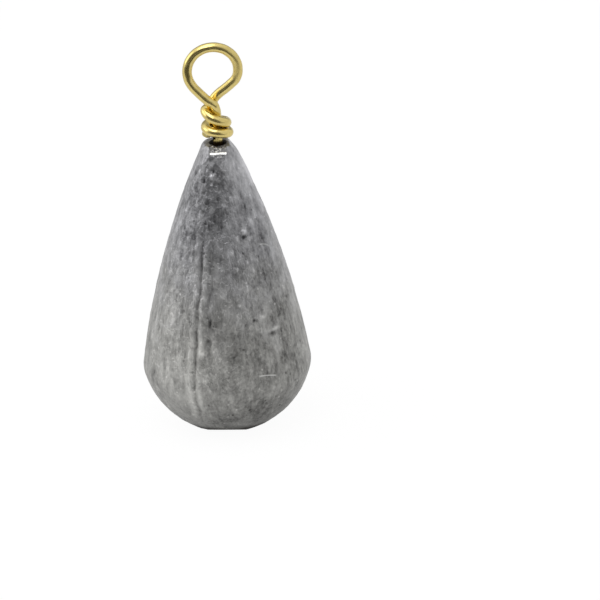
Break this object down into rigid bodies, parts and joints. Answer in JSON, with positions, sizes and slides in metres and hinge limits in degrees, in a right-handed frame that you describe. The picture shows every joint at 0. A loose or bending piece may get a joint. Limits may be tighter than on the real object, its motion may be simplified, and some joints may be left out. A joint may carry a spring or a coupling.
{
  "type": "fishing sinker",
  "caption": "Pear-shaped cast lead fishing sinker with a domed wide end and a swivelling brass wire eye at its narrow neck.",
  "frame": {"origin": "centre of the flat on the wide end, on which the sinker stands", "axes": "+Z along the sinker's axis, from the wide end to the line eye; +Y through the line eye"},
  "size_m": [0.0188, 0.0188, 0.0456],
  "materials": {
    "cast_lead": "as-cast lead, dull grey with a soft uneven sheen",
    "wire_brass": "bright drawn wire",
    "barrel_brass": "darkened by the hot lead"
  },
  "bodies": {
    "weight": {"lead_body": "cast_lead", "anchor_wire": "wire_brass"},
    "barrel": {"swivel_barrel": "barrel_brass"},
    "eye": {"eye_wire": "wire_brass"}
  },
  "joints": [
    {"name": "swivel_spin", "type": "hinge", "parent": "weight", "child": "barrel", "pos_m": [0, 0, 0.02985], "axis": [0, 0, 1], "continuous": true},
    {"name": "eye_slide", "type": "slide", "parent": "barrel", "child": "eye", "axis": [0, 0, 1], "range_m": [0, 0.0008]}
  ]
}
